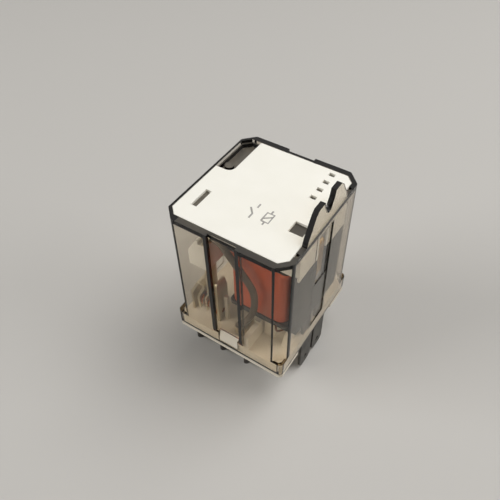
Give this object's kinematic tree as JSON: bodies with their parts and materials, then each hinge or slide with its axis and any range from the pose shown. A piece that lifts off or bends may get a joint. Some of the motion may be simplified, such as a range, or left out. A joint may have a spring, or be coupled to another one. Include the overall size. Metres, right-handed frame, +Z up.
{
  "type": "plug-in power relay",
  "caption": "Two-pole changeover plug-in power relay with tab terminals, orange taped coil and hinged armature under a smoked clear cover with grip fins.",
  "frame": {"origin": "under the middle of the body, at the level of the tab tips on which the relay stands", "axes": "+Z up from the tabs to the top plate, +X from the contact side to the coil side, Y across the two poles, with the front pole at -Y"},
  "size_m": [0.0358, 0.0386, 0.0676],
  "materials": {
    "smoked_clear": "clear smoked polycarbonate",
    "white_plastic": "satin",
    "cream_plastic": "satin",
    "dark_plastic": "matt",
    "orange_tape": "glossy film tape",
    "dark_steel": "dull plated steel",
    "bright_steel": "plated",
    "tinned_dark": "tinned",
    "tinned_brass": "tinned",
    "spring_brass": "bright",
    "contact_copper": "bright",
    "copper": "enamelled",
    "braid_grey": "tinned braid"
  },
  "bodies": {
    "relay_body": {"cover": "smoked_clear", "top_plate": "white_plastic", "base": "cream_plastic", "yoke": "dark_steel", "core": "bright_steel", "shading_ring": "copper", "bobbin": "dark_plastic", "coil_winding": "copper", "coil_tape": "orange_tape", "coil_lead_a": "copper", "coil_lead_b": "copper", "coil_tab_a": "tinned_dark", "coil_tab_b": "tinned_dark", "armature_retainer": "white_plastic", "hinge_spring": "spring_brass", "yoke_rivet": "bright_steel", "braid_front": "braid_grey", "braid_rear": "braid_grey", "break_terminal_front": "tinned_brass", "break_terminal_rear": "tinned_brass", "break_contact_front": "contact_copper", "break_contact_rear": "contact_copper", "make_terminal_front": "tinned_brass", "make_terminal_rear": "tinned_brass", "make_contact_front": "contact_copper", "make_contact_rear": "contact_copper", "common_terminal_front": "tinned_brass", "common_terminal_rear": "tinned_brass"},
    "armature_set": {"armature": "bright_steel", "armature_rivet": "bright_steel", "contact_carrier": "white_plastic", "moving_blade_front": "tinned_brass", "moving_blade_rear": "tinned_brass", "moving_contact_front": "contact_copper", "moving_contact_rear": "contact_copper"}
  },
  "joints": [
    {"name": "armature_pivot", "type": "hinge", "parent": "relay_body", "child": "armature_set", "pos_m": [0.016, 0, 0.0499], "axis": [0, -1, 0], "range_deg": [0, 3.4], "stiffness_Nm_per_rad": 0.08, "springref_deg": -11.46, "deforming": ["braid_front", "braid_rear", "hinge_spring"]}
  ]
}
